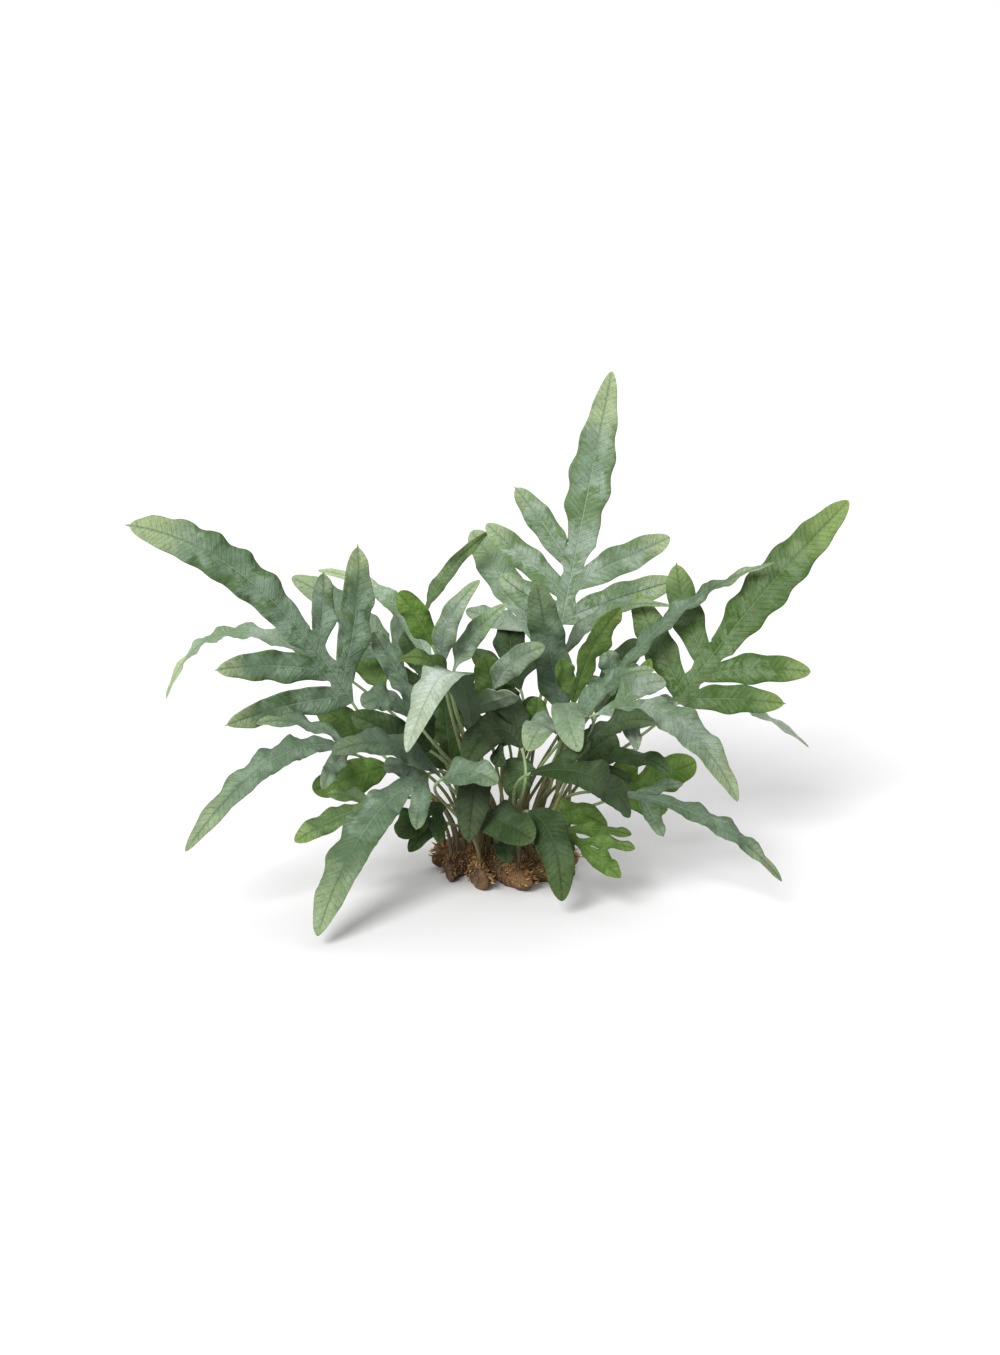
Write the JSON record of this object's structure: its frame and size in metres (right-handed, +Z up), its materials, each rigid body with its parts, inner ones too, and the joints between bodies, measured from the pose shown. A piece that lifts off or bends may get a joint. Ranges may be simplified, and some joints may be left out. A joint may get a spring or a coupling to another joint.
{
  "type": "blue star fern",
  "caption": "Whole blue star fern without a pot: a low creeping scaly rhizome carrying wiry stems and separate blue-green fronds with wavy strap-shaped lobes.",
  "frame": {"origin": "middle of the rhizome's flat underside, where the plant rests", "axes": "+Z up, +X to the plant's right as seen from its front, -Y towards the viewer at its front"},
  "size_m": [0.5431, 0.3156, 0.377],
  "materials": {
    "rhizome_scales": "matt, covered in golden brown scales",
    "blade_light": "waxy satin, light blue-green bloom",
    "blade_blue": "waxy satin, blue-green bloom",
    "blade_green": "satin, mid green",
    "blade_lime": "satin, fresh yellow-green",
    "blade_deep": "waxy satin, deep blue-green",
    "blade_dark": "satin, dark green",
    "blade_pale": "waxy satin, pale grey-green bloom"
  },
  "bodies": {
    "root": {"rhizome": "rhizome_scales", "frond_left_high": "blade_blue", "frond_top": "blade_light", "frond_right_high": "blade_green", "frond_left_ribbon": "blade_light", "frond_right_droop": "blade_light", "frond_pale_fold": "blade_pale", "frond_twist_ribbon": "blade_green", "frond_back_left_high": "blade_light", "frond_right_ribbon": "blade_blue", "frond_right_low_trail": "blade_blue", "frond_front_left_trail": "blade_blue", "frond_left_low_trail": "blade_blue", "frond_left_green": "blade_lime", "frond_front_left_strap": "blade_deep", "frond_left_underleaf": "blade_lime", "frond_left_low": "blade_green", "frond_low_left_dark": "blade_dark", "frond_front_hang_left": "blade_dark", "frond_front_light": "blade_blue", "frond_front_dark_point": "blade_dark", "frond_front_low_broad": "blade_dark", "frond_front_hang_right": "blade_dark", "frond_right_low_dark": "blade_lime", "frond_right_yellow": "blade_lime", "frond_right_dark_broad": "blade_dark", "frond_right_green_low": "blade_lime", "frond_right_small_droop": "blade_dark", "frond_centre_pale_hang": "blade_light", "frond_centre_fold": "blade_light", "frond_lime_twist": "blade_lime", "frond_lime_strap": "blade_light", "frond_centre_column": "blade_deep", "frond_centre_pale": "blade_light", "frond_left_blade_a": "blade_light", "frond_left_blade_b": "blade_light", "frond_centre_back_leaf": "blade_dark", "frond_left_strap_high": "blade_light", "frond_left_back": "blade_light", "frond_left_small_curl": "blade_blue", "frond_left_lime_small": "blade_lime", "frond_left_lime_strap": "blade_lime", "frond_left_pale_short": "blade_deep", "frond_centre_dark": "blade_dark", "frond_centre_green": "blade_lime", "frond_centre_oval": "blade_lime", "frond_centre_back_dark": "blade_dark", "frond_left_back_dark": "blade_dark", "frond_left_small_pale": "blade_lime", "frond_right_strap": "blade_blue", "frond_right_small_rosette": "blade_blue", "frond_right_small_leaf": "blade_lime", "frond_right_back_ribbon": "blade_pale", "frond_right_dark_strap": "blade_dark", "frond_right_back_dark": "blade_dark", "frond_low_left_small": "blade_dark", "frond_low_centre_small": "blade_dark", "frond_left_dark_mid": "blade_dark", "frond_centre_arch": "blade_dark", "frond_right_inner_dark": "blade_dark"}
  },
  "joints": []
}
